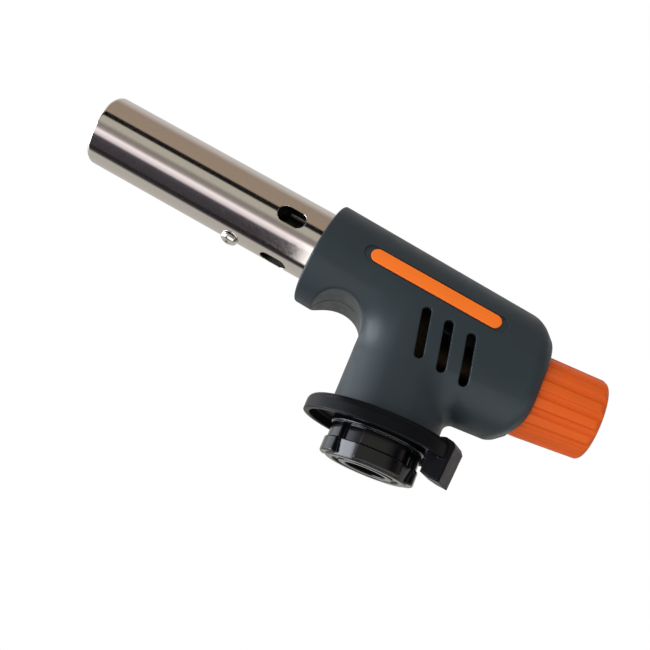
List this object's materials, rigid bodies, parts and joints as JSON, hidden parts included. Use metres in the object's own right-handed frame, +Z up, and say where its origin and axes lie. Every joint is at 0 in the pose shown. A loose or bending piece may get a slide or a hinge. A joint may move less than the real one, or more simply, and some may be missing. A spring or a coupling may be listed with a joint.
{
  "type": "gas torch",
  "caption": "Hand-held gas torch head: steel flame tube in a two-shell plastic housing, fluted push-and-turn knob, bayonet plug with a turning guide ring.",
  "frame": {"origin": "on the neck axis, level with the guide ring's lower rim, inside the bore that takes the cartridge's stem", "axes": "+Z up the neck away from the cartridge, flame tube towards -X, knob axis along +X, shells parted on the plane y = 0"},
  "size_m": [0.1679, 0.0452, 0.0771],
  "materials": {
    "housing": "satin moulded, dark grey-blue",
    "inlay": "smooth orange",
    "screw_steel": "plated",
    "stainless": "polished stainless with fine turning marks",
    "dark_metal": "blackened",
    "brass": "machined",
    "ceramic": "glazed white ceramic",
    "wire_sleeve": "silicone sleeve",
    "black_plastic": "moulded",
    "red_plastic": "moulded",
    "seal_rubber": "nitrile rubber",
    "bronze_filter": "sintered bronze",
    "knob_plastic": "satin orange",
    "ring_plastic": "satin black",
    "plug_plastic": "semi-gloss black"
  },
  "bodies": {
    "housing": {"left_shell": "housing", "right_shell": "housing", "left_plate": "inlay", "right_plate": "inlay", "shell_screws": "screw_steel", "flame_tube": "stainless", "tube_collar": "dark_metal", "tube_screw": "screw_steel", "flame_holder": "brass", "mixing_tube": "brass", "jet_nozzle": "brass", "jet_holder": "dark_metal", "gas_pipe": "brass", "electrode": "screw_steel", "electrode_insulator": "ceramic", "ignition_wire": "wire_sleeve", "piezo_body": "black_plastic", "valve_body": "brass", "spindle_o_ring": "seal_rubber", "gland_nut": "brass", "inlet_fitting": "brass", "inlet_filter": "bronze_filter", "inlet_o_ring": "seal_rubber", "bayonet_plug": "plug_plastic", "plug_seal": "seal_rubber"},
    "igniter_plunger": {"piezo_plunger": "red_plastic"},
    "knob": {"knob": "knob_plastic"},
    "spindle": {"valve_spindle": "brass"},
    "guide_ring": {"guide_ring": "ring_plastic"}
  },
  "joints": [
    {"name": "knob_push", "type": "slide", "parent": "housing", "child": "igniter_plunger", "axis": [-1, 0, 0], "range_m": [0, 0.0045], "stiffness_N_per_m": 2500, "springref_m": -0.002},
    {"name": "knob_turn", "type": "hinge", "parent": "igniter_plunger", "child": "knob", "pos_m": [0.04, 0, 0.0283], "axis": [1, 0, 0], "range_deg": [0, 300]},
    {"name": "spindle_turn", "type": "hinge", "parent": "housing", "child": "spindle", "pos_m": [0.03, 0, 0.0283], "axis": [1, 0, 0], "range_deg": [0, 300]},
    {"name": "guide_ring_turn", "type": "hinge", "parent": "housing", "child": "guide_ring", "pos_m": [0, 0, 0.005], "axis": [0, 0, 1], "range_deg": [0, 35]}
  ],
  "couplings": [
    {"joint": "spindle_turn", "follows": "knob_turn", "ratio": 1}
  ]
}
